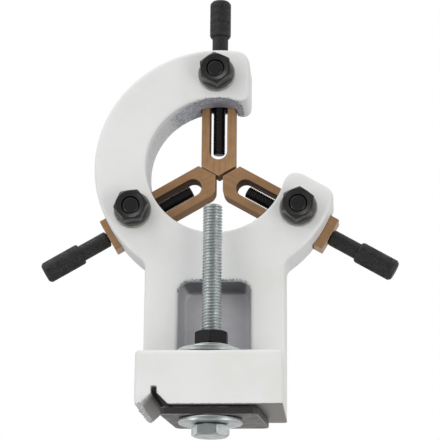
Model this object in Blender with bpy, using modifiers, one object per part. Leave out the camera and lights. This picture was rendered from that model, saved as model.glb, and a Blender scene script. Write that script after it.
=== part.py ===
"""Fixed steady for a bench lathe: an open cast ring on a pedestal, three bronze fingers on
adjusting screws, and a clamp that pulls the base down on the lathe bed.

Metres, +Z up. The front (the side with the lock nuts) faces -Y. z = 0 is the machined bed face,
x = 0 is the bore axis, y = 0 is the front face of the ring.
"""
import bpy
import bmesh
import math
from mathutils import Matrix

MM = 0.001
GAP = 0.3 * MM                      # clearance between pieces that touch or slide

# casting
CENTRE_HEIGHT = 127.0 * MM          # bed face to bore axis
BORE_R = 35.5 * MM
RING_R = 61.7 * MM
RING_T = 26.0 * MM
BASE_W = 69.6 * MM
LEDGE_OUT = 30.3 * MM               # how far the ledge stands out in front of the ring
LEDGE_H = 26.0 * MM
TOP_END = 16.6 * MM                 # arm ends, measured sideways from the finger axes
RIGHT_END = 16.2 * MM
TOP_CORNER_R = 5.6 * MM             # rounded corners of the arm ends
RIGHT_CORNER_R = 7.0 * MM
NECK_FILLET_R = 2.0 * MM
CAST_EDGE_R = 1.6 * MM
POCKET_W = 36.0 * MM
POCKET_TOP = 60.6 * MM              # below the bore axis
POCKET_DEPTH = 18.0 * MM
POCKET_CORNER_R = 5.0 * MM
POCKET_LIP = 1.8 * MM               # flared lip of the pocket
POCKET_DRAFT = 1.6 * MM             # how much each side wall leans in, lip to back
VEE_FROM_SIDE = 9.3 * MM            # groove's middle from the left side of the base
VEE_HALF = 7.0 * MM
VEE_RELIEF_W = 2.2 * MM
VEE_RELIEF_H = 8.4 * MM

# fingers and their screws, measured outward from the bore axis along each finger
FINGERS = ("top", "left", "right")  # evenly round the bore, the first one upright
FINGER_START = {"top": -1.25 * MM, "left": 1.65 * MM, "right": 2.75 * MM}
FINGER_W = 17.5 * MM
FINGER_T = 10.6 * MM
FINGER_OUT = 1.6 * MM               # a closed finger's end outside the ring
FINGER_PROUD = 0.3 * MM             # behind the ring's back face, so that the washer presses on it
FINGER_EDGE = 0.35 * MM
POINT_SLOPE = math.tan(math.radians(30.0))
LOWER_CORNER_R = 2.5 * MM           # worn lower shoulder of the two lower fingers
LOWER_SIDE = {"top": 0, "left": -1, "right": 1}
SLOT_CLEAR = 0.15 * MM              # each side of the lock bolt
SLOT_START = 8.9 * MM               # from the tip
END_BLOCK_T = 6.0 * MM
SCREW_D = 6.0 * MM
SCREW_CLEAR = 3.9 * MM              # end of the thread from the inner end of the slot
SHANK_D = 8.3 * MM
SHANK_L = 15.6 * MM
KNOB_D = 11.0 * MM
KNOB_L = 21.0 * MM
SCREW_CHAMFER = 1.0 * MM
CLIP_T = 1.0 * MM
CLIP_SEAT = 0.5 * MM                # depth of the clip's seat

# lock bolts through the ring
LOCK_FROM_RIM = 13.85 * MM          # bolt circle inside the ring's outside
BOLT_D = 8.6 * MM
LOCK_NUT_AF = 15.1 * MM
NUT_H = 8.0 * MM
HEAD_H = 6.4 * MM
WASHER_D = 18.8 * MM
WASHER_T = 2.0 * MM
BACK_WASHER_D = 24.0 * MM
BOLT_SUNK = 0.8 * MM                # bolt's end inside the nut
BOLT_CHAMFER = 1.0 * MM
WASHER_EDGE = 0.25 * MM
NUT_TURN = {"top": math.radians(5.8), "left": math.radians(37.2), "right": math.radians(53.3)}

# clamp under the bed
CLAMP_MARGIN = 0.1 * MM             # ledge's front edge to the large washer
CLAMP_D = 9.6 * MM
CLAMP_TOP = 100.6 * MM              # end of the clamp bolt above the bed face
CLAMP_CHAMFER = 1.5 * MM
CLAMP_NUT_AF = 15.3 * MM
CLAMP_NUT_H = 6.7 * MM
CLAMP_HEAD_AF = 16.2 * MM
CLAMP_HEAD_H = 5.6 * MM
CLAMP_HEAD_TURN = math.radians(-21.6)
PLATE_DROP = 0.6 * MM               # plate below the bed face, as photographed
PLATE_T = 3.9 * MM
PLATE_INSET = 2.3 * MM              # behind the ledge's front
PLATE_D = 43.0 * MM
PLATE_EDGE = 0.4 * MM
PLATE_CORNER_R = 2.8 * MM
PLATE_LEFT = -23.1 * MM
PLATE_RIGHT = 26.5 * MM
PLATE_CUT = 3.8 * MM                # how far two opposite corners are cut back
BIG_WASHER_D = 30.4 * MM
BIG_WASHER_T = 2.4 * MM
BIG_WASHER_SHIFT = -1.0 * MM        # the ledge's washer lies off the bolt's axis
SMALL_WASHER_D = 20.6 * MM
SMALL_WASHER_T = 1.3 * MM

# derived
VEE_X = VEE_FROM_SIDE - BASE_W / 2
LOCK_R = RING_R - LOCK_FROM_RIM
FINGER_L = RING_R + FINGER_OUT
SCREW_END = SLOT_START + SCREW_CLEAR
CLIP_SEAT_D = SCREW_D - 2 * CLIP_SEAT
CLAMP_Y = BIG_WASHER_D / 2 + CLAMP_MARGIN - LEDGE_OUT
PLATE_FRONT = PLATE_INSET - LEDGE_OUT
PLATE_BACK = PLATE_FRONT + PLATE_D
SLOT_W = BOLT_D + 2 * SLOT_CLEAR
CLIP_D = SLOT_W - 2 * GAP
FINGER_BACK = RING_T + FINGER_PROUD
FINGER_FRONT = FINGER_BACK - FINGER_T
FINGER_MID = (FINGER_FRONT + FINGER_BACK) / 2
GROOVE_FLOOR = min(FINGER_FRONT, FINGER_MID - SHANK_D / 2) - GAP
HOLE_R = BOLT_D / 2 + GAP
CLAMP_HOLE_R = CLAMP_D / 2 + GAP
ROUND_STEP = math.radians(4.0)
OVERSHOOT = 4.0 * MM                # how far a cutter runs past the face that it cuts

for old in list(bpy.data.objects):
    bpy.data.objects.remove(old, do_unlink=True)


def new_collection(name):
    made = bpy.data.collections.new(name)
    bpy.context.scene.collection.children.link(made)
    return made


PARTS = new_collection("lathe_fixed_steady")
CUTTERS = new_collection("cutters")
CUTTERS.hide_render = True


def material(name, colour, roughness, metallic):
    made = bpy.data.materials.new(name)
    made.use_nodes = True
    shader = made.node_tree.nodes["Principled BSDF"]
    shader.inputs["Base Color"].default_value = (*colour, 1.0)
    shader.inputs["Roughness"].default_value = roughness
    shader.inputs["Metallic"].default_value = metallic
    made.diffuse_color = (*colour, 1.0)
    return made


PAINT = ("white_paint", (0.76, 0.76, 0.74), 0.45, 0.0)
BRONZE = ("bronze", (0.36, 0.21, 0.10), 0.42, 0.9)
BLACK = ("black_oxide", (0.02, 0.02, 0.02), 0.45, 0.6)
DARK_STEEL = ("dark_steel", (0.12, 0.115, 0.11), 0.5, 0.8)
ZINC = ("zinc_plate", (0.45, 0.48, 0.47), 0.35, 1.0)


def as_cutter(piece):
    for home in list(piece.users_collection):
        home.objects.unlink(piece)
    CUTTERS.objects.link(piece)
    piece.hide_render = True
    piece.display_type = 'WIRE'
    return piece


def new_piece(name, mesh, place=Matrix()):
    piece = bpy.data.objects.new(name, mesh)
    PARTS.objects.link(piece)
    piece.matrix_world = place
    return piece


def finish(piece, look):
    """Gives a piece its own material and smooth round faces."""
    piece.data.materials.clear()
    piece.data.materials.append(material(piece.name + "_" + look[0], *look[1:]))
    piece.data.shade_smooth()
    piece.data.set_sharp_from_angle(angle=math.radians(32.0))
    return piece


def boolean(piece, other, operation):
    """Adds an exact boolean with another piece, which becomes a hidden cutter."""
    as_cutter(other)
    step = piece.modifiers.new(operation.lower(), 'BOOLEAN')
    step.operation = operation
    step.solver = 'EXACT'
    step.object = other
    return piece


def settled(piece):
    """The piece with its modifiers applied."""
    bpy.context.view_layer.update()
    graph = bpy.context.evaluated_depsgraph_get()
    mesh = bpy.data.meshes.new_from_object(piece.evaluated_get(graph))
    piece.modifiers.clear()
    piece.data = mesh
    return piece


def lathe(name, profile, place=Matrix(), steps=40, closed=False):
    """Turns a profile of (radius, height) points about the local Z axis. An open profile runs from
    the axis at the top to the axis at the bottom, a closed one round the section of a ring."""
    mesh = bpy.data.meshes.new(name)
    points = [(r, 0.0, z) for r, z in profile]
    edges = [(i, i + 1) for i in range(len(points) - 1)]
    if closed:
        edges.append((len(points) - 1, 0))
    mesh.from_pydata(points, edges, [])
    piece = new_piece(name, mesh, place)
    turn = piece.modifiers.new("turn", 'SCREW')
    turn.axis = 'Z'
    turn.angle = math.tau
    turn.steps = steps
    turn.render_steps = steps
    turn.use_merge_vertices = True
    turn.merge_threshold = 0.00001
    settled(piece)
    outward(piece)
    return piece


def outward(piece):
    shape = bmesh.new()
    shape.from_mesh(piece.data)
    bmesh.ops.remove_doubles(shape, verts=shape.verts, dist=0.000002)
    bmesh.ops.recalc_face_normals(shape, faces=shape.faces)
    shape.to_mesh(piece.data)
    shape.free()


def cylinder(name, radius, low, high, place=Matrix(), steps=40):
    mesh = bpy.data.meshes.new(name)
    shape = bmesh.new()
    middle = Matrix.Translation((0, 0, (low + high) / 2))
    bmesh.ops.create_cone(shape, cap_ends=True, segments=steps, radius1=radius, radius2=radius,
                          depth=high - low, matrix=middle)
    shape.to_mesh(mesh)
    shape.free()
    return new_piece(name, mesh, place)


def box(name, low, high, place=Matrix()):
    mesh = bpy.data.meshes.new(name)
    shape = bmesh.new()
    bmesh.ops.create_cube(shape, size=1.0)
    size = [b - a for a, b in zip(low, high)]
    middle = [(a + b) / 2 for a, b in zip(low, high)]
    bmesh.ops.scale(shape, vec=size, verts=shape.verts)
    bmesh.ops.translate(shape, vec=middle, verts=shape.verts)
    shape.to_mesh(mesh)
    shape.free()
    return new_piece(name, mesh, place)


def loft(name, sections, place=Matrix()):
    """A closed solid through outlines of equal point counts."""
    mesh = bpy.data.meshes.new(name)
    shape = bmesh.new()
    rings = [[shape.verts.new(p) for p in outline] for outline in sections]
    count = len(rings[0])
    for near, far in zip(rings, rings[1:]):
        for i in range(count):
            j = (i + 1) % count
            shape.faces.new((near[i], near[j], far[j], far[i]))
    shape.faces.new(rings[0])
    shape.faces.new(rings[-1])
    bmesh.ops.recalc_face_normals(shape, faces=shape.faces)
    shape.to_mesh(mesh)
    shape.free()
    return new_piece(name, mesh, place)


def plate(name, loops, thickness, edge_r, place=Matrix(), rounds=2):
    """A flat outline (with holes) in local XY, thick along local Z, with rounded edges."""
    curve = bpy.data.curves.new(name, 'CURVE')
    curve.dimensions = '2D'
    curve.fill_mode = 'BOTH'
    curve.extrude = thickness / 2 - edge_r
    curve.bevel_depth = edge_r
    curve.bevel_resolution = rounds
    curve.offset = -edge_r
    for loop in loops:
        line = curve.splines.new('POLY')
        line.points.add(len(loop) - 1)
        for point, (x, y) in zip(line.points, loop):
            point.co = (x, y, 0.0, 1.0)
        line.use_cyclic_u = True
    drawn = bpy.data.objects.new(name + "_outline", curve)
    PARTS.objects.link(drawn)
    bpy.context.view_layer.update()
    graph = bpy.context.evaluated_depsgraph_get()
    mesh = bpy.data.meshes.new_from_object(drawn.evaluated_get(graph))
    bpy.data.objects.remove(drawn, do_unlink=True)
    mesh.name = name
    piece = new_piece(name, mesh, place)
    outward(piece)
    return piece


def arc(centre, radius, start, end, step=ROUND_STEP):
    """Points along an arc from one angle to another, both ends included."""
    count = max(2, math.ceil(abs(end - start) / step))
    angles = [start + (end - start) * i / count for i in range(count + 1)]
    return [(centre[0] + radius * math.cos(a), centre[1] + radius * math.sin(a)) for a in angles]


def angle_to(point, centre):
    return math.atan2(point[1] - centre[1], point[0] - centre[0])


def upright(y):
    """Places a local XY outline in the front view at depth y, with local Z toward the front."""
    return Matrix.Translation((0, y, 0)) @ Matrix.Rotation(math.radians(90), 4, 'X')


def radial(side, out=0.0, depth=0.0):
    """A frame on a finger's axis: local Z runs outward, local Y toward the back."""
    turn = -math.tau * FINGERS.index(side) / len(FINGERS)
    on_axis = Matrix.Translation((0, 0, CENTRE_HEIGHT)) @ Matrix.Rotation(turn, 4, 'Y')
    return on_axis @ Matrix.Translation((0, depth, out))


def lock_place(side):
    """A frame on a lock bolt's axis: local Z runs from the ring's front face toward the front."""
    return radial(side, LOCK_R) @ Matrix.Rotation(math.radians(90), 4, 'X')


def arm_end(axis_angle, offset, inward, corner_r):
    """Centres of the two corner rounds of an arm's end cut, outer then inner. The cut runs along
    the finger's axis, offset sideways; inward is the side angle from the axis to the cut."""
    u = (math.cos(axis_angle), math.sin(axis_angle))
    n = (math.cos(axis_angle + inward), math.sin(axis_angle + inward))
    side = offset - corner_r
    found = []
    for reach in (RING_R - corner_r, BORE_R + corner_r):
        along = math.sqrt(reach ** 2 - side ** 2)
        found.append((u[0] * along + n[0] * side, u[1] * along + n[1] * side + CENTRE_HEIGHT))
    return found, axis_angle + inward


def casting_outline():
    """The front view of the casting, anticlockwise, with arcs for the ring and every fillet."""
    middle = (0.0, CENTRE_HEIGHT)
    (top_out, top_in), top_normal = arm_end(math.radians(90), TOP_END, math.radians(-90),
                                            TOP_CORNER_R)
    (right_out, right_in), right_normal = arm_end(math.radians(-30), RIGHT_END, math.radians(90),
                                                  RIGHT_CORNER_R)
    half = BASE_W / 2
    reach = RING_R + NECK_FILLET_R
    neck_x = half + NECK_FILLET_R
    neck_z = CENTRE_HEIGHT - math.sqrt(reach ** 2 - neck_x ** 2)
    left_neck = (-neck_x, neck_z)
    right_neck = (neck_x, neck_z)
    fine = math.radians(15)
    line = arc(top_out, TOP_CORNER_R, top_normal, angle_to(top_out, middle), fine)
    left_angle = angle_to(left_neck, middle) + math.tau
    line += arc(middle, RING_R, angle_to(top_out, middle), left_angle)
    line += arc(left_neck, NECK_FILLET_R, left_angle - math.pi, 0.0, fine)
    line += [(-half, -2 * CAST_EDGE_R), (half, -2 * CAST_EDGE_R)]
    right_angle = angle_to(right_neck, middle)
    line += arc(right_neck, NECK_FILLET_R, math.pi, right_angle + math.pi, fine)
    line += arc(middle, RING_R, right_angle, angle_to(right_out, middle))
    line += arc(right_out, RIGHT_CORNER_R, angle_to(right_out, middle), right_normal, fine)
    inner_end = angle_to(right_in, middle)
    line += arc(right_in, RIGHT_CORNER_R, right_normal, inner_end + math.pi, fine)
    line += arc(middle, BORE_R, inner_end, angle_to(top_in, middle) - math.tau)
    line += arc(top_in, TOP_CORNER_R, angle_to(top_in, middle) - math.pi, top_normal, fine)
    kept = []
    for point in line:
        if not kept or math.dist(point, kept[-1]) > 0.02 * MM:
            kept.append(point)
    if math.dist(kept[0], kept[-1]) <= 0.02 * MM:
        kept.pop()
    return kept


def pocket_section(y, half, top):
    """Outline of the pocket at one depth, with rounded upper corners."""
    corner_z = top - POCKET_CORNER_R
    right = arc((half - POCKET_CORNER_R, corner_z), POCKET_CORNER_R, 0.0, math.pi / 2, 0.3)
    left = arc((POCKET_CORNER_R - half, corner_z), POCKET_CORNER_R, math.pi / 2, math.pi, 0.3)
    flat = [(-half, LEDGE_H), (half, LEDGE_H)] + right + left
    return [(x, y, z) for x, z in flat]


def make_casting():
    body = plate("frame_casting", [casting_outline()], RING_T, CAST_EDGE_R, upright(RING_T / 2))
    half = BASE_W / 2
    deep = RING_T + OVERSHOOT
    ledge = box("ledge_block", (-half, -LEDGE_OUT, -2 * CAST_EDGE_R), (half, RING_T / 4, LEDGE_H))
    soft = ledge.modifiers.new("cast edges", 'BEVEL')
    soft.width = CAST_EDGE_R
    soft.segments = 3
    boolean(body, ledge, 'UNION')
    top = CENTRE_HEIGHT - POCKET_TOP
    wide = POCKET_W / 2
    lip = POCKET_LIP
    pocket = loft("pocket_cutter", [
        pocket_section(-lip, wide + lip, top + lip),
        pocket_section(lip, wide - lip, top - lip),
        pocket_section(POCKET_DEPTH, wide - lip - POCKET_DRAFT, top - lip - POCKET_DRAFT / 2)])
    boolean(body, pocket, 'DIFFERENCE')
    slit = VEE_RELIEF_W / 2
    over = OVERSHOOT
    vee = [(VEE_X - VEE_HALF - over, -over), (VEE_X - slit, VEE_HALF - slit),
           (VEE_X - slit, VEE_RELIEF_H), (VEE_X + slit, VEE_RELIEF_H),
           (VEE_X + slit, VEE_HALF - slit), (VEE_X + VEE_HALF + over, -over)]
    ends = (-LEDGE_OUT - over, RING_T + over)
    boolean(body, loft("vee_cutter", [[(x, y, z) for x, z in vee] for y in ends]), 'DIFFERENCE')
    under = box("bed_face_cutter", (-half - over, -LEDGE_OUT - over, -over - VEE_HALF),
                (half + over, RING_T + over, 0.0))
    boolean(body, under, 'DIFFERENCE')
    down = Matrix.Translation((0, CLAMP_Y, 0))
    boolean(body, cylinder("clamp_hole_cutter", CLAMP_HOLE_R, -over, LEDGE_H + over, down), 'DIFFERENCE')
    wide = FINGER_W / 2 + GAP
    for side in FINGERS:
        groove = box("groove_cutter_" + side, (-wide, GROOVE_FLOOR, BORE_R / 2),
                     (wide, deep, RING_R + over), radial(side))
        boolean(body, groove, 'DIFFERENCE')
        hole = cylinder("lock_hole_cutter_" + side, HOLE_R, -deep, over, lock_place(side))
        boolean(body, hole, 'DIFFERENCE')
    settled(body)
    return finish(body, PAINT)


def lower_corner(half, drop):
    """The rounded shoulder at local +X, from the point's flank up to the finger's side."""
    lean = math.atan(POINT_SLOPE)
    turn = math.pi / 2 - lean
    setback = LOWER_CORNER_R * math.tan(turn / 2)
    centre = (half - LOWER_CORNER_R, drop + setback)
    return arc(centre, LOWER_CORNER_R, lean - math.pi / 2, 0.0, math.radians(15))


def make_finger(side):
    half = FINGER_W / 2
    drop = half * POINT_SLOPE
    right = [(half, drop)]
    left = [(-half, drop)]
    if LOWER_SIDE[side] > 0:
        right = lower_corner(half, drop)
    if LOWER_SIDE[side] < 0:
        left = [(-x, y) for x, y in reversed(lower_corner(half, drop))]
    outer = [(0.0, 0.0)] + right + [(half, FINGER_L), (-half, FINGER_L)] + left
    slot_r = SLOT_W / 2
    slot_top = FINGER_L - END_BLOCK_T
    slot = arc((0.0, SLOT_START + slot_r), slot_r, math.pi, math.tau, math.radians(10))
    slot += [(slot_r, slot_top), (-slot_r, slot_top)]
    place = radial(side, FINGER_START[side], FINGER_MID) @ Matrix.Rotation(math.radians(90), 4, 'X')
    name = "finger_" + side
    piece = plate(name, [outer, slot], FINGER_T, FINGER_EDGE, place, rounds=1)
    neck = cylinder("neck_cutter_" + side, SCREW_D / 2 + GAP, slot_top - OVERSHOOT,
                    FINGER_L + OVERSHOOT,
                    radial(side, FINGER_START[side], FINGER_MID), 28)
    boolean(piece, neck, 'DIFFERENCE')
    settled(piece)
    return finish(piece, BRONZE)


def make_screw(side):
    """Knob, shank, neck and thread in one turned piece, with a seat for the retaining clip."""
    shoulder = FINGER_L + GAP
    knob_low = shoulder + SHANK_L
    knob_top = knob_low + KNOB_L
    seat_top = FINGER_L - END_BLOCK_T
    seat_low = seat_top - CLIP_T - 2 * GAP
    rod = SCREW_D / 2
    knob = KNOB_D / 2
    shank = SHANK_D / 2
    nick = SCREW_CHAMFER
    profile = [(0.0, knob_top), (knob - nick, knob_top), (knob, knob_top - nick),
               (knob, knob_low + nick), (knob - nick, knob_low), (shank, knob_low),
               (shank, shoulder + nick), (shank - nick, shoulder), (rod, shoulder),
               (rod, seat_top), (CLIP_SEAT_D / 2, seat_top), (CLIP_SEAT_D / 2, seat_low),
               (rod, seat_low), (rod, SCREW_END + nick / 2), (rod - nick / 2, SCREW_END),
               (0.0, SCREW_END)]
    piece = lathe("screw_" + side, profile, radial(side, FINGER_START[side], FINGER_MID), 32)
    finish(piece, BLACK)
    clip_top = seat_top - GAP
    clip_low = clip_top - CLIP_T
    inner = CLIP_SEAT_D / 2 + GAP
    section = [(inner, clip_top), (CLIP_D / 2, clip_top), (CLIP_D / 2, clip_low), (inner, clip_low)]
    clip = lathe("screw_clip_" + side, section, piece.matrix_world, 28, closed=True)
    return finish(clip, DARK_STEEL)


def washer(name, diameter, hole_r, low, high, place, look):
    """A flat washer between two heights on local Z, with broken edges."""
    outer = diameter / 2
    nick = WASHER_EDGE
    section = [(hole_r, high), (outer - nick, high), (outer, high - nick), (outer, low + nick),
               (outer - nick, low), (hole_r, low)]
    return finish(lathe(name, section, place, 36, closed=True), look)


def hexagon(name, across, low, high, place, chamfer_low=True, turn=0.0):
    """A hexagon prism along local Z with its corners chamfered at 30 degrees."""
    corner = across / math.sqrt(3)
    piece = cylinder(name, corner, low, high, place @ Matrix.Rotation(turn, 4, 'Z'), 6)
    flat = 0.475 * across
    wide = corner * 1.03
    drop = (wide - flat) * POINT_SLOPE
    low_in = flat if chamfer_low else wide
    low_up = drop if chamfer_low else 0.0
    barrel = [(0.0, high), (flat, high), (wide, high - drop), (wide, low + low_up)]
    if chamfer_low:
        barrel.append((low_in, low))
    barrel.append((0.0, low))
    return boolean(piece, lathe(name + "_chamfer", barrel, place, 30), 'INTERSECT')


def make_nut(name, across, hole_r, low, height, place, look, turn=0.0):
    piece = hexagon(name, across, low, low + height, place, True, turn)
    bore = cylinder(name + "_bore", hole_r, low - OVERSHOOT, low + height + OVERSHOOT, place, 36)
    boolean(piece, bore, 'DIFFERENCE')
    settled(piece)
    return finish(piece, look)


def make_bolt(name, across, rod, nick, seat, head_h, end, place, turn=0.0):
    """A bolt whose head lies below the seat on local Z and whose shank, of radius rod, runs up to
    its chamfered end."""
    piece = hexagon(name, across, -seat, -seat + head_h, place @ Matrix.Rotation(math.pi, 4, 'X'),
                    False, turn)
    settled(piece)
    low = seat - head_h / 2
    shank = lathe(name + "_shank", [(0.0, end), (rod - nick, end), (rod, end - nick), (rod, low),
                                    (0.0, low)], place, 40)
    boolean(piece, shank, 'UNION')
    return piece


def make_lock(side, turn):
    """Lock bolt with its head behind the ring, a washer each side and a nut in front."""
    place = lock_place(side)
    washer("lock_washer_" + side, WASHER_D, HOLE_R, GAP, GAP + WASHER_T, place, DARK_STEEL)
    nut_low = WASHER_T + 2 * GAP
    make_nut("lock_nut_" + side, LOCK_NUT_AF, HOLE_R, nut_low, NUT_H, place, BLACK, turn)
    back = -FINGER_BACK - GAP
    washer("back_washer_" + side, BACK_WASHER_D, HOLE_R, back - WASHER_T, back, place, DARK_STEEL)
    seat = back - WASHER_T - GAP
    end = nut_low + NUT_H - BOLT_SUNK
    bolt = make_bolt("lock_bolt_" + side, LOCK_NUT_AF, BOLT_D / 2, BOLT_CHAMFER, seat, HEAD_H, end,
                     place)
    tapped = cylinder("tapped_hole_" + side, SCREW_D / 2 + GAP, LOCK_R - BOLT_D, LOCK_R + BOLT_D,
                      radial(side, 0.0, FINGER_MID), 28)
    boolean(bolt, tapped, 'DIFFERENCE')
    settled(bolt)
    # the head was turned about its own axis, so the origin goes back to the bolt's frame
    bolt.data.transform(place.inverted() @ bolt.matrix_world)
    bolt.matrix_world = place
    finish(bolt, BLACK)


def rounded(corners, radius):
    """An anticlockwise outline with every corner rounded by an arc that touches both its sides."""
    points = []
    for i, corner in enumerate(corners):
        before = angle_to(corner, corners[i - 1])
        after = angle_to(corners[(i + 1) % len(corners)], corner)
        turn = (after - before) % math.tau
        along = radius * math.tan(turn / 2)
        start = (corner[0] - along * math.cos(before), corner[1] - along * math.sin(before))
        centre = (start[0] - radius * math.sin(before), start[1] + radius * math.cos(before))
        first = before - math.pi / 2
        points += arc(centre, radius, first, first + turn, math.radians(15))
    return points


def make_clamp():
    place = Matrix.Translation((0, CLAMP_Y, 0))
    big_low = LEDGE_H + GAP
    big_top = big_low + BIG_WASHER_T
    shifted = place @ Matrix.Translation((BIG_WASHER_SHIFT, 0, 0))
    wide_hole = CLAMP_HOLE_R + abs(BIG_WASHER_SHIFT)
    washer("clamp_washer_large", BIG_WASHER_D, wide_hole, big_low, big_top, shifted, ZINC)
    small_low = big_top + GAP
    small_top = small_low + SMALL_WASHER_T
    washer("clamp_washer_small", SMALL_WASHER_D, CLAMP_HOLE_R, small_low, small_top, place, ZINC)
    make_nut("clamp_nut", CLAMP_NUT_AF, CLAMP_HOLE_R, small_top + GAP, CLAMP_NUT_H, place, BLACK)

    plate_top = -PLATE_DROP
    plate_low = plate_top - PLATE_T
    front = PLATE_FRONT - CLAMP_Y
    back = PLATE_BACK - CLAMP_Y
    corners = [(PLATE_LEFT, front), (PLATE_RIGHT - PLATE_CUT, front), (PLATE_RIGHT, back),
               (PLATE_LEFT + PLATE_CUT, back)]
    outline = rounded(corners, PLATE_CORNER_R)
    hole = arc((0.0, 0.0), CLAMP_HOLE_R, 0.0, math.tau, math.radians(10))[:-1]
    at_plate = place @ Matrix.Translation((0, 0, (plate_top + plate_low) / 2))
    finish(plate("clamp_plate", [outline, hole], PLATE_T, PLATE_EDGE, at_plate, 1), DARK_STEEL)

    low_top = plate_low - GAP
    low_end = low_top - BIG_WASHER_T
    washer("clamp_plate_washer", BIG_WASHER_D, CLAMP_HOLE_R, low_end, low_top, place, ZINC)
    bolt = make_bolt("clamp_bolt", CLAMP_HEAD_AF, CLAMP_D / 2, CLAMP_CHAMFER, low_end - GAP, CLAMP_HEAD_H,
                     CLAMP_TOP, place, CLAMP_HEAD_TURN)
    settled(bolt)
    bolt.data.transform(place.inverted() @ bolt.matrix_world)
    bolt.matrix_world = place
    finish(bolt, ZINC)


make_casting()
for where in FINGERS:
    make_finger(where)
    make_screw(where)
    make_lock(where, NUT_TURN[where])
make_clamp()
for piece in CUTTERS.objects:
    piece.hide_set(True)
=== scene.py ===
"""Fixed steady rest of a bench lathe, dressed for a white studio photograph.

Sizes are in millimetres until a mesh is written. z = 0 is the machined bed face, x = 0 the bore
axis, y = 0 the ring's front face, and the front faces -Y.
"""
import math
import bmesh
import bpy
import numpy as np
from mathutils import Matrix, Vector


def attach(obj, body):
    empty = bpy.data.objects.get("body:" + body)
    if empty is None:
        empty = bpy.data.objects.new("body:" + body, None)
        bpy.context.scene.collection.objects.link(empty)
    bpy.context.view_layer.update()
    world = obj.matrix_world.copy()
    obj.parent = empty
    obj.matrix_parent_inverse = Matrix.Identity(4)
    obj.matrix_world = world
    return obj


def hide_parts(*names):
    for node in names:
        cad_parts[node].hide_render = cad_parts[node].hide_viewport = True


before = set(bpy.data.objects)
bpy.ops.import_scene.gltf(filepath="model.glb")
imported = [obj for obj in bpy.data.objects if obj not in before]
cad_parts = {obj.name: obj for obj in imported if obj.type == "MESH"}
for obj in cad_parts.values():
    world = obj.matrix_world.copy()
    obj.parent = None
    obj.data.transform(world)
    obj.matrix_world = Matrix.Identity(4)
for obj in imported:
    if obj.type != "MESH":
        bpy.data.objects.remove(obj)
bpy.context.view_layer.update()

MM = 0.001
GAP = 0.3
SIDES = ("top", "left", "right")

# casting
CENTRE_HEIGHT = 127.0
BORE_R = 35.5
RING_R = 61.7
RING_T = 26.0
BASE_HALF = 34.8
LEDGE_OUT = 30.3
LEDGE_H = 26.0
TOP_END = 16.6
RIGHT_END = 16.9
TOP_CORNER_R = 5.6
TOP_INNER_R = 6.4
RIGHT_CORNER_R = 4.6
RIGHT_INNER_R = 9.2
NECK_FILLET_R = 2.0
LEDGE_FILLET_R = 1.5
CAST_EDGE_R = 1.7
BORE_EDGE_R = 0.8
MACHINED_EDGE_R = 0.45
DRILLED_EDGE_R = 0.3
POCKET_HALF = 18.0
POCKET_TOP = 66.4
POCKET_DEPTH = 18.0
POCKET_CORNER_R = 6.2
POCKET_FLOOR_R = 1.0
POCKET_LIP_R = 1.3
POCKET_DRAFT = 0.1
POCKET_MOUTH = 2.0
VEE_X = -25.5
VEE_HALF = 7.0
VEE_RELIEF_HALF = 1.1
VEE_RELIEF_H = 8.4
LAND_X = -31.3
LAND_FADE = 3.0
LAND_ROOT = 1.0
LAND_LUMP = 0.5
LAND_LUMP_SIZE = 5.3
LAND_CHIP = 0.4
LAND_CHIP_SIZE = 2.9
LAND_SUNK = 0.3
BORE_EDGE_FROM = 6
BORE_EDGE_OVER = 4
FILLET_RUN_OUT = 3.0
CASTING_STEP = 0.8

# paint, bare iron and painted shade on the casting: where each starts and how far it reaches
SPRAY_LEFT = (3.0, 23.0)
SPRAY_RIGHT = (5.0, 11.0)
SPRAY_EDGE = 0.9
SPRAY_DEEPER = 6.0
SPRAY_SOFTER = 4
SPRAY_CLOSES = 12
SPRAY_OVERLAP = 0.1
ARM_COATED = (7.0, 8.0)
ARM_COAT = 1.3
BORE_NEAR = 0.6
BORE_STEEP = 20
BORE_LEAST = -4.0
LAND_H = 1.2
LAND_BARE = -0.8
LIP_NEAR = 1.0
LIP_FRONT = -0.5
LIP_BACK = 1.6
LIP_BARE = -0.5
TORN_FROM = POCKET_TOP + 9
TORN_LOW = 0.3
POCKET_NEAR = 1.2
POCKET_FROM = 0.6
GROOVE_NEAR = 0.3
BED_NEAR = 0.42
VEE_NEAR = 0.45
VEE_LEAN = 0.6
VEE_COAT = 0.12
VEE_FADE = 0.022
SLIT_DROP = 1.2
SLIT_DEPTH = 20.0
ROOF_FROM = 2.2
ROOF_NEAR = 1.6
ROOF_MOST = 0.22
SHADE_NEAR = 0.9
SHADE_FROM = 0.6
FLANK_SHADE = 0.36
FLANK_THINNER = 0.12
FLANK_COAT = 0.35
FLANK_FADE = 0.05

# fingers and adjusting screws, measured outward along each finger
FINGER_START = {"top": -1.25, "left": 1.65, "right": 2.75}
LOWER_SIDE = {"top": 0, "left": -1, "right": 1}
FINGER_HALF = 8.75
FINGER_L = 63.3
FINGER_FRONT = 15.7
FINGER_BACK = 26.3
FINGER_MID = (FINGER_FRONT + FINGER_BACK) / 2
FINGER_HALF_T = (FINGER_BACK - FINGER_FRONT) / 2
FINGER_EDGE_R = 0.45
SHARP_SHOULDER_R = 0.2
POINT_LEAN = math.radians(30.0)
LOWER_CORNER_R = 2.5
# painted shade: how much darker the lower fingers are drawn all over
LOWER_SHADE = 0.35
EDGE_NEAR = 0.4
WALL_NEAR = 0.3
FLANK_NEAR = 0.25
FLANK_INSET = 0.2
TIP_PAST = 0.6
TIP_FADE = 0.3
BLOCK_INSET = 1
NECK_EDGE_R = 0.2
SLOT_HALF = 4.45
SLOT_START = 8.9
SLOT_END = 57.3
SCREW_R = 3.0
THREAD_R = 3.1
SCREW_PITCH = 1.0
SCREW_THREAD = 0.45
SCREW_END = {"top": 12.8, "left": 14.4, "right": 14.4}
SCREW_NOSE = 0.6
OVERLAP = 0.2
SHANK_R = 4.15
SHANK_CHAMFER = 0.7
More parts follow.
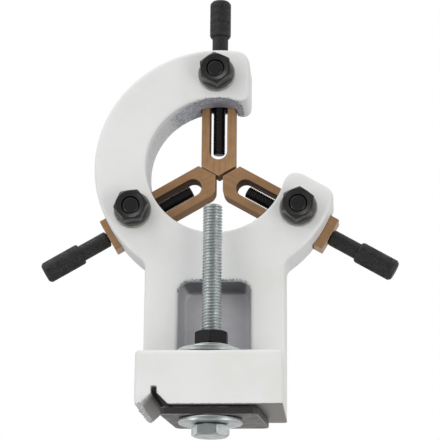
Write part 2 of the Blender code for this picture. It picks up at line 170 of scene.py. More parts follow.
SHANK_L = {"top": 14.3, "left": 15.6, "right": 15.6}
KNOB_R = 5.5
KNOB_L = {"top": 20.0, "left": 21.2, "right": 21.0}
KNOB_FOOT_IN = 0.5
KNOB_FOOT_UP = 1.0
KNOB_CROWN = ((0.0, 1.4), (0.9, 0.25), (1.6, 0.0))
HANDLE_EDGES = (0.0, 0.2, 0.2, 0.12, 0.15, 0.2, 0.5, 0.3, 0.3, 0.0)
KNURL_LINES = 46
KNURL_ROWS = 90
KNURL_DEPTH = 0.14
KNURL_STEEP = 2.2
KNURL_LOW = 1.8
KNURL_HIGH = 3.0
KNURL_FADE = 0.6
KNURL_MARGIN = 0.4
CLIP_T = 1.0
CLIP_R = 4.15
CLIP_SEAT_R = 2.5
CLIP_EDGE_R = 0.15
CLIP_OPEN = 32.0
CLIP_STOPS = 62
FINE_STEP = 0.4

# nuts, heads, washers and threads
CHAMFER_SHARE = 0.475
CHAMFER_H = 1.3
CHAMFER_ROWS = 12
SIDE_ROWS = 8
SIDE_INSET = 1.5
HEX_POWER = 90
HEX_COLUMNS = 144
SINK_EDGE = 0.15
SINK_DROP = 0.08
WASHER_BORE_R = 0.15
WASHER_COLUMNS = 120
THREAD_FLAT = 0.14
THREAD_FLANK = 0.70

# lock bolts through the ring
LOCK_R = 47.85
BOLT_R = 4.3
HOLE_R = BOLT_R + GAP
NUT_ACROSS = 15.1
NUT_H = 8.0
HEAD_H = 6.4
WASHER_R = 9.4
WASHER_T = 2.0
BACK_WASHER_R = 12.0
BOLT_SUNK = 0.8
BOLT_CHAMFER = 0.7
BOLT_EDGE_R = 0.2
BOLT_END_R = 0.1
HEAD_FILLET_R = 0.4
CROSS_EDGE_R = 0.25
WASHER_EDGE_R = 0.5
COUNTERSINK = 1.9
COUNTERSINK_DEEP = 0.8
NUT_TURN = {"top": math.radians(5.8), "left": math.radians(37.2), "right": math.radians(53.3)}

# clamp
CLAMP_Y = -15.0
CLAMP_R = 4.8
CLAMP_HOLE_R = CLAMP_R + GAP
CLAMP_TOP = 100.6
CLAMP_NOSE = 1.5
CLAMP_PITCH = 1.5
CLAMP_THREAD = 0.92
CLAMP_NUT_ACROSS = 15.3
CLAMP_NUT_H = 6.7
CLAMP_HEAD_ACROSS = 16.2
CLAMP_HEAD_H = 5.6
CLAMP_HEAD_TURN = math.radians(21.6)
PLATE_TOP = -0.6
PLATE_T = 3.9
PLATE_CORNERS = ((-23.1, -28.0), (22.7, -28.0), (26.5, 15.0), (-19.3, 15.0))
PLATE_CORNER_R = 2.8
PLATE_EDGE_R = 0.5
PLATE_STEP = 0.5
RIM_NEAR = 0.25
WORN_NEAR = 0.7
BIG_WASHER_R = 15.2
BIG_WASHER_T = 2.4
BIG_WASHER_SHIFT = -1.0
SMALL_WASHER_R = 10.3
SMALL_WASHER_T = 1.3
BIG_WASHER_EDGE_R = 0.8
HEAD_FACE = (0.0, 0.25, 0.44)
NECK_H = 0.5

# a fold steeper than this many degrees is shaded as an edge
CAST_SHARP = 60.0
PLAIN_SHARP = 40.0
BOLT_SHARP = 32.0
HANDLE_SHARP = 30.0
HEX_SHARP = 26.0
THREAD_SHARP = 180.0

# how surfaces are closed and settled
WELD = 0.002
MARGIN = 1.4
NUDGE = 0.02
SETTLE_ROUNDS = 4
LEAST_SLOPE = 0.2
MOST_MOVE = 0.5
START_INSIDE = 1


# surfaces from numbers

def quads(rows, columns, wrap_rows=False):
    """Corner indices of a grid's quads. Columns always close on themselves, rows where asked."""
    i = np.arange(rows if wrap_rows else rows - 1)[:, None]
    j = np.arange(columns)[None, :]
    below = (i + 1) % rows
    beside = (j + 1) % columns
    corners = (i * columns + j, i * columns + beside, below * columns + beside, below * columns + j)
    return np.stack(corners, axis=-1).reshape(-1, 4)


def make_piece(name, shape, finish, body, node, place=None, sharp=PLAIN_SHARP, weld=True, values=None):
    """A piece from (points in mm, quads), moved by a 4x4 place. Where weld is set, points that
    coincide at a pole are joined and the faces turned outward. values are numbers or vectors stored
    at the points, as the finish reads them."""
    points, faces = shape
    points = points.reshape(-1, 3)
    if place is not None:
        points = points @ place[:3, :3].T + place[:3, 3]
    mesh = bpy.data.meshes.new(name)
    mesh.vertices.add(len(points))
    mesh.vertices.foreach_set("co", (points * MM).astype(np.float32).ravel())
    mesh.loops.add(faces.size)
    mesh.loops.foreach_set("vertex_index", faces.astype(np.int32).ravel())
    mesh.polygons.add(len(faces))
    mesh.polygons.foreach_set("loop_start", np.arange(0, faces.size, 4, dtype=np.int32))
    mesh.update(calc_edges=True)
    for label, numbers in (values or {}).items():
        kind, field = ('FLOAT', "value") if numbers.ndim == 1 else ('FLOAT_VECTOR', "vector")
        store = mesh.attributes.new(label, kind, 'POINT')
        store.data.foreach_set(field, numbers.astype(np.float32).ravel())
    if weld:
        shell = bmesh.new()
        shell.from_mesh(mesh)
        bmesh.ops.remove_doubles(shell, verts=shell.verts, dist=WELD * MM)
        bmesh.ops.recalc_face_normals(shell, faces=shell.faces)
        shell.to_mesh(mesh)
        shell.free()
    mesh.shade_smooth()
    mesh.set_sharp_from_angle(angle=math.radians(sharp))
    piece = bpy.data.objects.new(name, mesh)
    bpy.context.scene.collection.objects.link(piece)
    mesh.materials.append(finish)
    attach(piece, body)
    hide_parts(node)


def rounded(corners, radius, steps=6):
    """A closed outline with each corner replaced by a quadratic arc that starts and ends where a
    circle of that radius would touch the two sides."""
    corners = np.asarray(corners, float)
    radius = np.broadcast_to(radius, len(corners))[:, None]
    back = np.roll(corners, 1, axis=0) - corners
    on = np.roll(corners, -1, axis=0) - corners
    back = back / np.linalg.norm(back, axis=1, keepdims=True)
    on = on / np.linalg.norm(on, axis=1, keepdims=True)
    half = np.arccos(np.clip(np.sum(back * on, axis=1, keepdims=True), -1, 1)) / 2
    cut = radius / np.tan(half)
    s = np.linspace(0, 1, steps + 1)[None, :, None]
    start, end = (corners + back * cut)[:, None], (corners + on * cut)[:, None]
    return ((1 - s) ** 2 * start + 2 * s * (1 - s) * corners[:, None] + s ** 2 * end).reshape(-1, 2)


def around(columns):
    """Evenly spaced angles round a full turn, as one row."""
    return np.linspace(0, 2 * math.pi, columns, endpoint=False)[None, :]


def grown(value, start, length):
    """How far a value has come past start, as a share of a length, between 0 and 1."""
    return np.clip((value - start) / length, 0, 1)


def revolve(radius, height, columns):
    """Points at (radius, height) carried round Z; both may change with the angle."""
    angle = around(columns)
    radius = radius + 0 * angle
    return np.stack((radius * np.cos(angle), radius * np.sin(angle), height + 0 * angle), axis=-1)


def ring(inner, outer, low, high, edge):
    """A flat washer: a rectangle with rounded corners carried round Z."""
    corners = ((inner, low), (outer, low), (outer, high), (inner, high))
    profile = rounded(corners, (WASHER_BORE_R, edge, edge, WASHER_BORE_R))
    points = revolve(profile[:, :1], profile[:, 1:], WASHER_COLUMNS)
    return points, quads(len(profile), WASHER_COLUMNS, True)


def hexagon(angle, across, turn):
    """Distance to a hexagon's side at an angle; a high power mean rounds the six corners."""
    sides = turn + np.arange(6) * math.pi / 3
    toward = np.clip(np.cos(angle[..., None] - sides), 0, 1)
    return across / 2 / np.sum(toward ** HEX_POWER, axis=-1) ** (1 / HEX_POWER)


def chamfered_side(across, low, high, turn):
    """Rows up a hexagon's side, each the least of the hexagon and the two 30 degree cones."""
    near = np.linspace(0, CHAMFER_H, CHAMFER_ROWS)
    between = np.linspace(low + SIDE_INSET, high - SIDE_INSET, SIDE_ROWS)
    height = np.concatenate((low + near, between, high - near[::-1]))[:, None]
    flat = CHAMFER_SHARE * across
    cone = flat + np.minimum(high - height, height - low) * math.sqrt(3)
    return np.minimum(hexagon(around(HEX_COLUMNS), across, turn), cone), height


def nut(across, low, height, turn, bore):
    """A ring whose section runs up the hexagon's side, in across the top face to a countersink,
    down the bore and out across the bottom face."""
    high = low + height
    side, rows = chamfered_side(across, low, high, turn)
    sink = bore + COUNTERSINK
    upper = np.array(((sink + SINK_EDGE, high), (sink, high - SINK_DROP), (bore, high - COUNTERSINK_DEEP)))
    lower = np.array(((bore, low + COUNTERSINK_DEEP), (sink, low + SINK_DROP), (sink + SINK_EDGE, low)))
    inner = np.concatenate((upper, lower))
    radius = np.concatenate((side, inner[:, :1] + 0 * side[:1]))
    rows = np.concatenate((rows, inner[:, 1:]))
    return revolve(radius, rows, HEX_COLUMNS), quads(len(rows), HEX_COLUMNS, True)


def thread_depth(height, angle, pitch):
    """Depth of a right-hand thread below its crest, as a share: flats at crest and root, straight
    flanks between, following height / pitch - angle / turn."""
    phase = np.mod(height / pitch - angle / (2 * math.pi), 1.0)
    return grown(np.abs(2 * phase - 1), THREAD_FLAT, THREAD_FLANK)


def threaded_rod(radius, pitch, depth, low, high, columns, rows_per_pitch, nose):
    """A closed rod along Z: the least of the thread's surface and a rod whose two ends are rounded
    off by a quarter circle of radius nose."""
    height = np.linspace(low, high, int(round((high - low) / pitch * rows_per_pitch)))[:, None]
    angle = around(columns)
    to_end = np.clip(np.minimum(high - height, height - low) / nose, 0, 1)
    crest = radius - nose + nose * np.sqrt(1 - (1 - to_end) ** 2)
    valley = radius - depth * thread_depth(height, angle, pitch)
    foot = np.array((0.0, 0.5))[:, None] * (radius - nose) + 0 * angle
    side = np.concatenate((foot, np.minimum(crest, valley), foot[::-1]))
    height = np.concatenate((np.full((2, 1), low), height, np.full((2, 1), high)))
    return revolve(side, height, columns), quads(len(height), columns)


def both(a, b, r):
    """Distance to what lies in both shapes, with the edge between them rounded to r."""
    return np.minimum(-r, np.maximum(a, b)) + np.hypot(np.maximum(a + r, 0), np.maximum(b + r, 0))


def joined(a, b, r):
    """Distance to two shapes together, with a fillet of r in the corner between them."""
    return -both(-a, -b, r)


def less(a, b, r):
    """The first shape without the second, with the cut's edge rounded to r."""
    return both(a, -b, r)


def skin(field, low, high, step):
    """The closed surface where field(x, y, z) is zero. Each grid cell that it crosses has a point
    at the mean of its crossed edges, each crossed edge joins its four cells' points with a quad, and
    the points then move along the field's gradient until they lie on the surface."""
    axes = [np.arange(a - MARGIN * step, b + (MARGIN + 1) * step, step) for a, b in zip(low, high)]
    value = field(*np.meshgrid(*axes, indexing="ij", sparse=True)).astype(np.float32)
    size = np.array(value.shape)
    cells = tuple(size - 1)
    total = np.zeros(cells + (3,), np.float32)
    count = np.zeros(cells, np.float32)
    crossings = []
    for axis in range(3):
        start = np.take(value, np.arange(size[axis] - 1), axis)
        end = np.take(value, np.arange(1, size[axis]), axis)
        crossed = (start < 0) != (end < 0)
        share = np.where(crossed, start / np.where(crossed, start - end, 1), 0)
        crossings.append((crossed, start < 0))
        others = [n for n in range(3) if n != axis]
        for first in (0, 1):
            for second in (0, 1):
                window = [slice(None)] * 3
                window[others[0]] = slice(first, first + cells[others[0]])
                window[others[1]] = slice(second, second + cells[others[1]])
                here = crossed[tuple(window)]
                count += here
                total[..., axis] += share[tuple(window)]
                total[..., others[0]] += here * first
                total[..., others[1]] += here * second
    used = count > 0
    number = np.full(cells, -1, np.int64)
    number[used] = np.arange(np.count_nonzero(used))
    place = np.argwhere(used) + total[used] / count[used][:, None]
    points = np.array([a[0] for a in axes]) + place * step
    faces = []
    for axis, (crossed, inside) in enumerate(crossings):
        one, two = (axis + 1) % 3, (axis + 2) % 3
        window = [slice(None)] * 3
        window[one] = window[two] = slice(1, -1)
        at = np.argwhere(crossed[tuple(window)])
        outward = inside[tuple(window)][tuple(at.T)]
        corners = []
        for a, b in ((0, 0), (1, 0), (1, 1), (0, 1)):
            spot = at.copy()
            spot[:, one] += a
            spot[:, two] += b
            corners.append(number[tuple(spot.T)])
        face = np.stack(corners, axis=-1)
        faces.append(np.where(outward[:, None], face, face[:, ::-1]))
    for _ in range(SETTLE_ROUNDS):
        x, y, z = points.T
        slope = np.stack((field(x + NUDGE, y, z) - field(x - NUDGE, y, z),
                          field(x, y + NUDGE, z) - field(x, y - NUDGE, z),
                          field(x, y, z + NUDGE) - field(x, y, z - NUDGE)), axis=-1) / (2 * NUDGE)
        steepness = np.maximum(np.sum(slope ** 2, axis=1), LEAST_SLOPE)
        move = slope * (field(x, y, z) / steepness)[:, None]
        points = points - np.clip(move, -MOST_MOVE * step, MOST_MOVE * step)
    return points, np.concatenate(faces)


def turn_y(angle):
    """A turn about Y, as a 4x4 place."""
    c, s = math.cos(angle), math.sin(angle)
    return np.array(((c, 0, s, 0), (0, 1, 0, 0), (-s, 0, c, 0), (0, 0, 0, 1)), float)


def moved(x, y, z):
    """A shift, as a 4x4 place."""
    place = np.eye(4)
    place[:3, 3] = (x, y, z)
    return place


LAID_FORWARD = np.array(((1, 0, 0, 0), (0, 0, -1, 0), (0, 1, 0, 0), (0, 0, 0, 1)), float)
CLAMP_PLACE = moved(0, CLAMP_Y, 0)


def radial(side, out=0.0, depth=0.0):
    """A frame on a finger's axis: Z runs outward, Y toward the back."""
    turn = turn_y(-2 * math.pi * SIDES.index(side) / len(SIDES))
    return moved(0, 0, CENTRE_HEIGHT) @ turn @ moved(0, depth, out)


def lock_place(side):
    """A frame on a lock bolt's axis: Z runs from the ring's front face toward the front."""
    return radial(side, LOCK_R) @ LAID_FORWARD


# finishes; a colour mix takes its share at input 0 and its two colours at 6 and 7
NOISE, MIX, RANGE, MATH = "ShaderNodeTexNoise", "ShaderNodeMix", "ShaderNodeMapRange", "ShaderNodeMath"
ATTRIBUTE, MAPPING, BUMP = "ShaderNodeAttribute", "ShaderNodeMapping", "ShaderNodeBump"
SHADER, OUTPUT = "ShaderNodeBsdfPrincipled", "ShaderNodeOutputMaterial"


def linear(code):
    """An sRGB hex colour as linear red, green, blue and alpha."""
    share = np.array([int(code[i:i + 2], 16) for i in (1, 3, 5)]) / 255
    return (*np.where(share <= 0.04045, share / 12.92, ((share + 0.055) / 1.055) ** 2.4), 1.0)


def add(tree, kind, inputs=None, out=0, **settings):
    """Adds a node with its settings, sets its inputs to values or links them to outputs, and gives
    back one of its outputs."""
    made = tree.nodes.new(kind)
    for label, setting in settings.items():
        setattr(made, label, setting)
    for label, value in (inputs or {}).items():
        if isinstance(value, bpy.types.NodeSocket):
            tree.links.new(value, made.inputs[label])
        else:
            made.inputs[label].default_value = value
    return made.outputs[out] if made.outputs else None


def new_material(name):
    """An empty material, its node tree, and Object coordinates in it."""
    made = bpy.data.materials.new(name)
    made.use_nodes = True
    made.node_tree.nodes.clear()
    return made, made.node_tree, add(made.node_tree, "ShaderNodeTexCoord", out="Object")


def painted_cast_iron():
    """White enamel sprayed on a sand casting: satin, a little lumpy, stained in large soft blotches,
    grey in the pocket, partly as a thinner coat and partly as painted shade of the recess. The bore is
    bored iron with turning bands, misted with overspray near its edge and painted darker deeper in as
    shade; that edge is ragged and specked with dark where the paint is torn. The bed face, the vee and
    the finger grooves are bare milled iron, brown-grey and smooth. Painted shade in the pocket's roof
    and along the vee is nearly black and matt. The specks are drawn about 1 mm wide, coarser than real
    overspray, so that they show."""
    made, tree, spot = new_material("painted_cast_iron")
    sizes = ((26, 3.0), (6, 3.0), (1.5, 4.0), (0.9, 2.0), (4, 3.0))
    blotch, lumps, fine, specks, tone = (
        add(tree, NOISE, {"Vector": spot, "Scale": 1 / (size * MM), "Detail": detail})
        for size, detail in sizes)
    torn, bore, machined, pocket, painted_shade = (
        add(tree, ATTRIBUTE, out="Fac", attribute_name=label)
        for label in ("torn", "bore", "machined", "pocket", "painted_shade"))
    squeezed = add(tree, MAPPING, {"Vector": spot, "Scale": (1.0, 6.0, 1.0)})
    bands = add(tree, NOISE, {"Vector": squeezed, "Scale": 1 / (5 * MM), "Detail": 4.0})
    spans = ((bands, 0.35, 0.65, 0.0, 1.0), (fine, 0.36, 0.64, 0.0, 1.0), (specks, 0.42, 0.56, 0.0, 1.0),
             (blotch, 0.55, 0.75, 0.0, 0.35), (fine, 0.3, 0.7, -1.0, 1.0), (fine, 0.2, 0.8, 0.42, 0.52))
    bands, speckle, specks, stain, ragged, gloss = (
        add(tree, RANGE, {"Value": value, "From Min": start, "From Max": end,
                          "To Min": low, "To Max": high})
        for value, start, end, low, high in spans)
    # the pocket's greys are partly a thinner coat and partly painted shade of the recess
    tones = ((blotch, "#e6e7e5", "#dadbd8"), (lumps, "#c9c8cb", "#b8b7bb"), (bands, "#a0a2a8", "#7b7d83"),
             (speckle, "#d3d8e1", "#7f8593"), (tone, "#8f8984", "#7e7873"))
    paint, thin_coat_and_shade, bored, misted, iron = (
        add(tree, MIX, {0: wander, 6: linear(first), 7: linear(second)}, 2, data_type='RGBA')
        for wander, first, second in tones)

    tear = add(tree, MATH, {0: ragged, 1: torn}, operation='MULTIPLY')
    bore = add(tree, MATH, {0: bore, 1: tear}, operation='ADD')
    # overspray lightens the bore near its edge; the bore turning darker deeper in is painted shade
    overspray_and_depth_shade = add(tree, RANGE, {"Value": bore, "From Min": 1.0, "From Max": 9.0,
                             "To Min": 0.85, "To Max": 0.0})
    bored = add(tree, MIX, {0: overspray_and_depth_shade, 6: bored, 7: misted}, 2, data_type='RGBA')
    rim = add(tree, MATH, {0: bore}, operation='ABSOLUTE')
    rim = add(tree, RANGE, {"Value": rim, "From Min": 0.25, "From Max": 1.3,
                            "To Min": 0.9, "To Max": 0.0})
    specks = add(tree, MATH, {0: specks, 1: torn}, operation='MULTIPLY')
    rim = add(tree, MATH, {0: rim, 1: specks}, operation='MULTIPLY')
    chips = add(tree, MATH, {0: ragged, 1: 0.12}, operation='MULTIPLY')
    machined = add(tree, MATH, {0: machined, 1: chips}, operation='ADD')
    depths = ((bore, -0.5, 0.6), (machined, -0.12, 0.12), (pocket, -0.8, 1.2), (painted_shade, -0.3, 0.4))
    bore, machined, pocket, painted_shade = (
        add(tree, RANGE, {"Value": depth, "From Min": start, "From Max": end})
        for depth, start, end in depths)

    # painted shade: the last layer, nearly black, darkens the pocket's roof and the vee's flanks and slit
    layers = ((stain, linear("#d8d2c6")), (pocket, thin_coat_and_shade), (bore, bored), (rim, linear("#4f5a70")),
              (machined, iron), (painted_shade, linear("#393637")))
    colour = paint
    for share, layer in layers:
        colour = add(tree, MIX, {0: share, 6: colour, 7: layer}, 2, data_type='RGBA')
    bare = add(tree, MATH, {0: machined, 1: painted_shade}, operation='SUBTRACT', use_clamp=True)
    metallic = add(tree, MATH, {0: bare, 1: 0.55}, operation='MULTIPLY')
    gloss = add(tree, MATH, {0: gloss, 1: painted_shade}, operation='MAXIMUM')
    height = add(tree, MATH, {0: fine, 1: lumps}, operation='ADD')
    coated = add(tree, MATH, {0: 1.0, 1: machined}, operation='SUBTRACT')
    height = add(tree, MATH, {0: height, 1: coated}, operation='MULTIPLY')
    normal = add(tree, BUMP, {"Height": height, "Strength": 0.4, "Distance": 0.13 * MM})
    shader = add(tree, SHADER, {"Base Color": colour, "Metallic": metallic, "Roughness": gloss,
                                "Normal": normal})
    add(tree, OUTPUT, {"Surface": shader})
    return made


def milled_bronze():
    """Bronze milled along the finger: warm brown satin with fine streaks, duller in stains. Its sides are
    rougher and painted darker as shade, its slot's walls are painted dark as shade and the lower
    fingers are painted a little darker all over as shade. Its edges are painted dark as shade along
    the bar and pale as a highlight round the point, and the end block's sides are painted pale as a
    highlight. The streaks are drawn 0.7 mm wide, coarser than real cutter marks, so that they show."""
    made, tree, spot = new_material("milled_bronze")
    along = add(tree, ATTRIBUTE, out="Vector", attribute_name="grain")
    along = add(tree, MAPPING, {"Vector": along, "Scale": (1.0, 1.0, 0.035)})
    streak = add(tree, NOISE, {"Vector": along, "Scale": 1 / 0.7, "Detail": 3.0})
    streak = add(tree, RANGE, {"Value": streak, "From Min": 0.3, "From Max": 0.7})
    stain = add(tree, NOISE, {"Vector": spot, "Scale": 1 / (6 * MM), "Detail": 4.0})
    oiled, tip, flank, block_side_highlight, edge, slot_wall_shade = (
        add(tree, ATTRIBUTE, out="Fac", attribute_name=label)
        for label in ("oiled", "tip", "flank", "block_side_highlight", "edge", "slot"))
    depths = ((stain, 0.35, 0.7, 1.0), (flank, 0.0, 0.2, 1.0), (block_side_highlight, 0.0, 0.2, 0.7),
              (edge, 0.0, 0.4, 0.6), (slot_wall_shade, 0.0, 0.25, 1.0))
    stained, flank, block_side_highlight, edge, slot_wall_shade = (
        add(tree, RANGE, {"Value": depth, "From Min": start, "From Max": end, "To Max": most})
        for depth, start, end, most in depths)
    # edge colour: painted shade along the bar, a painted highlight round the point
    tones = ((streak, "#c49b72", "#b28a62"), (streak, "#b08963", "#9f7955"), (tip, "#7d654c", "#dcc4aa"))
    bright, dull, edge_shade_and_highlight = (
        add(tree, MIX, {0: wander, 6: linear(first), 7: linear(second)}, 2, data_type='RGBA')
        for wander, first, second in tones)
    # painted light on the bronze: darker lower fingers and sides, pale end block sides, dark and pale
    # edges, near black slot walls
    layers = ((stained, dull), (oiled, linear("#8f6b47")), (flank, linear("#967352")),
              (block_side_highlight, linear("#d9c4ae")), (edge, edge_shade_and_highlight), (slot_wall_shade, linear("#52331a")))
    colour = bright
    for share, layer in layers:
        colour = add(tree, MIX, {0: share, 6: colour, 7: layer}, 2, data_type='RGBA')
    gloss = add(tree, RANGE, {"Value": stain, "From Min": 0.3, "From Max": 0.7,
                              "To Min": 0.36, "To Max": 0.5})
    matt = add(tree, MATH, {0: flank, 1: 0.8}, operation='MULTIPLY')
    gloss = add(tree, MATH, {0: gloss, 1: matt}, operation='MAXIMUM')
    normal = add(tree, BUMP, {"Height": streak, "Strength": 0.35, "Distance": 0.05 * MM})
    shader = add(tree, SHADER, {"Base Color": colour, "Metallic": 0.35, "Roughness": gloss,
                                "Normal": normal})
    add(tree, OUTPUT, {"Surface": shader})
    return made


def steel(name, light, dark, grain, metallic, gloss, lumps, depth, specular=0.5, rim=None):
    """A steel finish that wanders between two tones and two roughnesses in blotches of grain mm, with
    shallow lumps of another size. rim is the colour of the piece's sawn sides, where it has any, and
    their edges are then worn pale in patches."""
    made, tree, spot = new_material(name)
    tone = add(tree, NOISE, {"Vector": spot, "Scale": 1 / (grain * MM), "Detail": 4.0})
    share = add(tree, RANGE, {"Value": tone, "From Min": 0.3, "From Max": 0.7})
    colour = add(tree, MIX, {0: share, 6: linear(light), 7: linear(dark)}, 2, data_type='RGBA')
    if rim:
        edge = add(tree, ATTRIBUTE, out="Fac", attribute_name="rim")
        edge = add(tree, RANGE, {"Value": edge, "From Min": 0.0, "From Max": 0.3})
        colour = add(tree, MIX, {0: edge, 6: colour, 7: linear(rim)}, 2, data_type='RGBA')
        worn = add(tree, ATTRIBUTE, out="Fac", attribute_name="worn")
        worn = add(tree, MATH, {0: worn, 1: tone}, operation='ADD')
        worn = add(tree, RANGE, {"Value": worn, "From Min": 0.75, "From Max": 1.0, "To Max": 0.8})
        colour = add(tree, MIX, {0: worn, 6: colour, 7: linear("#a8a5a3")}, 2, data_type='RGBA')
    rough = add(tree, RANGE, {"Value": tone, "From Min": 0.25, "From Max": 0.75,
                              "To Min": gloss[0], "To Max": gloss[1]})
    bumps = add(tree, NOISE, {"Vector": spot, "Scale": 1 / (lumps * MM), "Detail": 3.0})
    normal = add(tree, BUMP, {"Height": bumps, "Strength": 0.4, "Distance": depth * MM})
    shader = add(tree, SHADER, {"Base Color": colour, "Metallic": metallic, "Roughness": rough,
                                "Specular IOR Level": specular, "Normal": normal})
    add(tree, OUTPUT, {"Surface": shader})
    return made


CAST = painted_cast_iron()
BRONZE = milled_bronze()
# blackened steel: nearly black, with a low oily sheen
BLACK = steel("black_oxide_steel", "#272626", "#1b1a1a", grain=1.4, metallic=0.3, gloss=(0.26, 0.38),
              lumps=0.8, depth=0.05, specular=0.62)
# oil-blackened steel: deeper black, with little sheen
OIL_BLACK = steel("oil_black_steel", "#1b1a1a", "#131212", grain=1.4, metallic=0.3, gloss=(0.30, 0.42),
                  lumps=0.8, depth=0.05, specular=0.35)
# phosphated steel: charcoal, matt and a little grainy
PHOSPHATED = steel("phosphated_steel", "#373635", "#1a1919", grain=1.0, metallic=0.3, gloss=(0.52, 0.66),
                   lumps=0.9, depth=0.14)
# washers dulled by oil: grey satin
OILED = steel("oiled_steel", "#a9a6a0", "#8c8983", grain=3.0, metallic=0.8, gloss=(0.36, 0.5),
              lumps=1.2, depth=0.04)
# bright zinc: cool light metal with soft mottling
ZINC = steel("bright_zinc_plate", "#cacfce", "#b0b7b6", grain=2.5, metallic=0.9, gloss=(0.28, 0.4),
             lumps=1.0, depth=0.03)
# rolled plate: brown-grey scale, rubbed lighter along its edges, with dark sawn sides
ROLLED = steel("hot_rolled_plate", "#7b7674", "#605b5a", grain=6.0, metallic=0.55, gloss=(0.42, 0.55),
               lumps=1.5, depth=0.06, rim="#333135")


# the casting

def waver(x, y, z, size):
    """Smooth pseudo-noise between -1 and 1: the mean of three sines whose waves don't line up."""
    k = 2 * math.pi / size
    first = np.sin(k * (x + 0.6 * y) + 1.3 * np.sin(k * 0.7 * z + 0.4))
    second = np.sin(k * (1.1 * z - 0.5 * x) + 1.1 * np.sin(k * 0.8 * y + 2.0))
    third = np.sin(k * (0.9 * y + 0.4 * z) + 1.2 * np.sin(k * 0.6 * x + 4.0))
    return (first + second + third) / 3


def front_outline(x, z):
    """Distance to the front view: disc and pedestal joined by fillets, less the bore, and cut off
    by the two arm ends. Each end's outer and inner corner has its own radius."""
    up = z - CENTRE_HEIGHT
    reach = np.hypot(x, up)
    column = np.maximum(np.abs(x) - BASE_HALF, up)
    outside = joined(reach - RING_R, column, NECK_FILLET_R)
    across_right = x * math.cos(math.pi / 3) + up * math.sin(math.pi / 3)
    kept = np.minimum(x - TOP_END, across_right - RIGHT_END)
    corner = np.where(up > x, TOP_CORNER_R, RIGHT_CORNER_R)
    inner = np.where(up > x, TOP_INNER_R, RIGHT_INNER_R)
    return np.maximum(both(outside, kept, corner), both(BORE_R - reach, kept, inner))


def pocket_space(x, y, z):
    """The pocket under the bore: leaning side walls, rounded upper corners, a flat back."""
    lean = POCKET_DRAFT * y
    mouth = both(np.abs(x) - POCKET_HALF + lean, z - POCKET_TOP + lean / 2, POCKET_CORNER_R)
    front = -POCKET_MOUTH - y
    return both(np.maximum(mouth, np.maximum(LEDGE_H - z, front)), y - POCKET_DEPTH, POCKET_FLOOR_R)


def vee_space(x, z):
    """The bed's vee: two 45 degree flanks with a relief slit above their meeting line."""
    off = np.abs(x - VEE_X)
    flank = (z + off - VEE_HALF) / math.sqrt(2)
    relief = np.maximum(off - VEE_RELIEF_HALF, z - VEE_RELIEF_H)
    return np.minimum(flank, relief)


def groove_space(side, x, y, z):
    """A finger's groove in the ring's back: within half a width of the axis, behind its floor."""
    out = radial(side)[:3, 2]
    up = z - CENTRE_HEIGHT
    along = x * out[0] + up * out[2]
    beside = x * out[2] - up * out[0]
    channel = np.maximum(np.abs(beside) - FINGER_HALF - GAP, FINGER_FRONT - GAP - y)
    return np.maximum(channel, BORE_R / 2 - along)


def casting_field(x, y, z):
    """The casting: the front view made thick, with the ledge added and the pocket, the vee, the bed
    face, the grooves and the bolt holes cut away. The narrow land beside the vee is lumpy and chipped
    by two sizes of pseudo-noise that fade out a few millimetres from it."""
    inner = np.clip((BORE_R + BORE_EDGE_FROM - np.hypot(x, z - CENTRE_HEIGHT)) / BORE_EDGE_OVER, 0, 1)
    edge = CAST_EDGE_R + (BORE_EDGE_R - CAST_EDGE_R) * inner
    solid = both(front_outline(x, z), np.abs(y - RING_T / 2) - RING_T / 2, edge)
    deep = (LEDGE_OUT + RING_T / 4) / 2
    ledge = both(np.abs(x) - BASE_HALF, np.abs(y + LEDGE_OUT - deep) - deep, CAST_EDGE_R)
    ledge = both(ledge, z - LEDGE_H, CAST_EDGE_R)
    fillet = LEDGE_FILLET_R * np.clip((BASE_HALF - np.abs(x)) / FILLET_RUN_OUT, 0, 1)
    solid = joined(solid, ledge, fillet)
    solid = less(solid, pocket_space(x, y, z), POCKET_LIP_R)
    past_land = np.hypot(np.maximum(x - LAND_X, 0), np.maximum(z - LAND_ROOT, 0))
    near = np.clip(1 - past_land / LAND_FADE, 0, 1)
    lumps = LAND_LUMP * waver(x, y, z, LAND_LUMP_SIZE) + LAND_CHIP * waver(y, z, x, LAND_CHIP_SIZE)
    solid = solid + near * (lumps + LAND_SUNK)
    solid = less(solid, vee_space(x, z), MACHINED_EDGE_R)
    solid = both(solid, -z, MACHINED_EDGE_R)
    solid = less(solid, np.hypot(x, y - CLAMP_Y) - CLAMP_HOLE_R, DRILLED_EDGE_R)
    for side in SIDES:
        solid = less(solid, groove_space(side, x, y, z), MACHINED_EDGE_R)
        centre = radial(side, LOCK_R)[:3, 3]
        solid = less(solid, np.hypot(x - centre[0], z - centre[2]) - HOLE_R, DRILLED_EDGE_R)
    return solid


